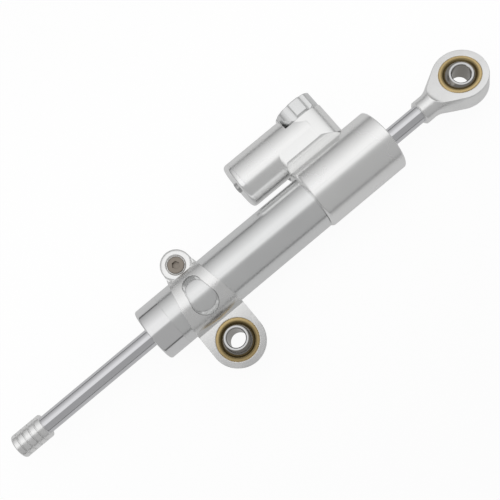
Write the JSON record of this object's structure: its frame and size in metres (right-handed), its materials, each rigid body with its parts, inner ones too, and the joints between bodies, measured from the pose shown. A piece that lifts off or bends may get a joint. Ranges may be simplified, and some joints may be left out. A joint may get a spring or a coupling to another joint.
{
  "type": "motorcycle steering damper",
  "caption": "Through-rod hydraulic steering damper with a clamp and spherical bearing on its barrel, a side reservoir, a click adjuster knob and a sliding chromed rod with an eye.",
  "frame": {"origin": "middle of the clamp bearing's bore", "axes": "+X along the rod towards the rod eye, +Y from the clamp bearing towards the rod axis and the adjuster knob, +Z along the clamp bearing"},
  "size_m": [0.253, 0.0733, 0.0292],
  "materials": {
    "anodised": "fine turned and brushed, clear anodised",
    "blasted": "bead blasted, clear anodised",
    "chrome": "ground and hard chromed",
    "bearing_steel": "ground and polished",
    "inner_steel": "plain",
    "inner_aluminium": "turned",
    "race_brass": "turned",
    "inner_brass": "turned",
    "dark_screw": "dark oiled",
    "small_screw": "stainless",
    "seal_rubber": "moulded",
    "seal_polymer": "moulded"
  },
  "bodies": {
    "damper_body": {"barrel": "anodised", "cylinder_liner": "inner_steel", "rear_gland": "anodised", "gland_o_ring": "seal_rubber", "rear_rod_bush": "inner_brass", "rear_rod_seal": "seal_polymer", "rear_seal_clip": "inner_steel", "rear_wiper": "seal_rubber", "head_block": "anodised", "head_o_ring": "seal_rubber", "front_rod_bush": "inner_brass", "front_rod_seal": "seal_polymer", "front_seal_clip": "inner_steel", "front_wiper": "seal_rubber", "reservoir_cap": "anodised", "reservoir_cap_o_ring": "seal_rubber", "bleed_screw": "small_screw", "compensator_spring": "inner_steel", "valve_seat": "inner_brass", "needle_housing": "inner_brass", "knob_clip": "inner_steel", "detent_ball": "inner_steel", "detent_spring": "inner_steel"},
    "clamp": {"clamp": "blasted", "clamp_bolt": "dark_screw", "clamp_race": "race_brass"},
    "clamp_ball": {"clamp_ball": "bearing_steel"},
    "piston_band": {"piston_band": "seal_polymer"},
    "rod": {"piston_rod": "chrome", "piston": "inner_aluminium", "piston_clips": "inner_steel", "rear_collar": "blasted", "rod_eye": "blasted", "eye_race": "race_brass"},
    "eye_ball": {"eye_ball": "bearing_steel"},
    "floating_piston": {"floating_piston": "inner_aluminium", "floating_piston_o_ring": "seal_rubber"},
    "adjuster_knob": {"adjuster_knob": "anodised", "knob_cap": "blasted"},
    "needle": {"needle": "inner_steel", "needle_o_ring": "seal_rubber"}
  },
  "joints": [
    {"name": "clamp_slide", "type": "slide", "parent": "damper_body", "child": "clamp", "axis": [1, 0, 0], "range_m": [-0.014, 0.033]},
    {"name": "clamp_ball_swivel", "type": "hinge", "parent": "clamp", "child": "clamp_ball", "pos_m": [0, 0, 0], "axis": [0, 0.1392, 0.9903], "continuous": true},
    {"name": "rod_slide", "type": "slide", "parent": "damper_body", "child": "piston_band", "axis": [1, 0, 0], "range_m": [-0.01825, 0.05675]},
    {"name": "rod_spin", "type": "hinge", "parent": "piston_band", "child": "rod", "pos_m": [0.1012, 0.0242, 0], "axis": [1, 0, 0], "continuous": true},
    {"name": "eye_ball_swivel", "type": "hinge", "parent": "rod", "child": "eye_ball", "pos_m": [0.14315, 0.0242, 0], "axis": [0, 0.1564, 0.9877], "continuous": true},
    {"name": "compensator_slide", "type": "slide", "parent": "damper_body", "child": "floating_piston", "axis": [1, 0, 0], "range_m": [-0.004, 0.004], "stiffness_N_per_m": 400, "deforming": ["compensator_spring"]},
    {"name": "knob_turn", "type": "hinge", "parent": "damper_body", "child": "adjuster_knob", "pos_m": [0.0809, 0.0542, 0], "axis": [0, 1, 0], "range_deg": [-160, 180]},
    {"name": "needle_travel", "type": "slide", "parent": "adjuster_knob", "child": "needle", "axis": [0, 1, 0], "range_m": [-0.000355, 0.0004]}
  ],
  "couplings": [
    {"joint": "knob_turn", "follows": "needle_travel", "rad_per_m": 7854}
  ]
}
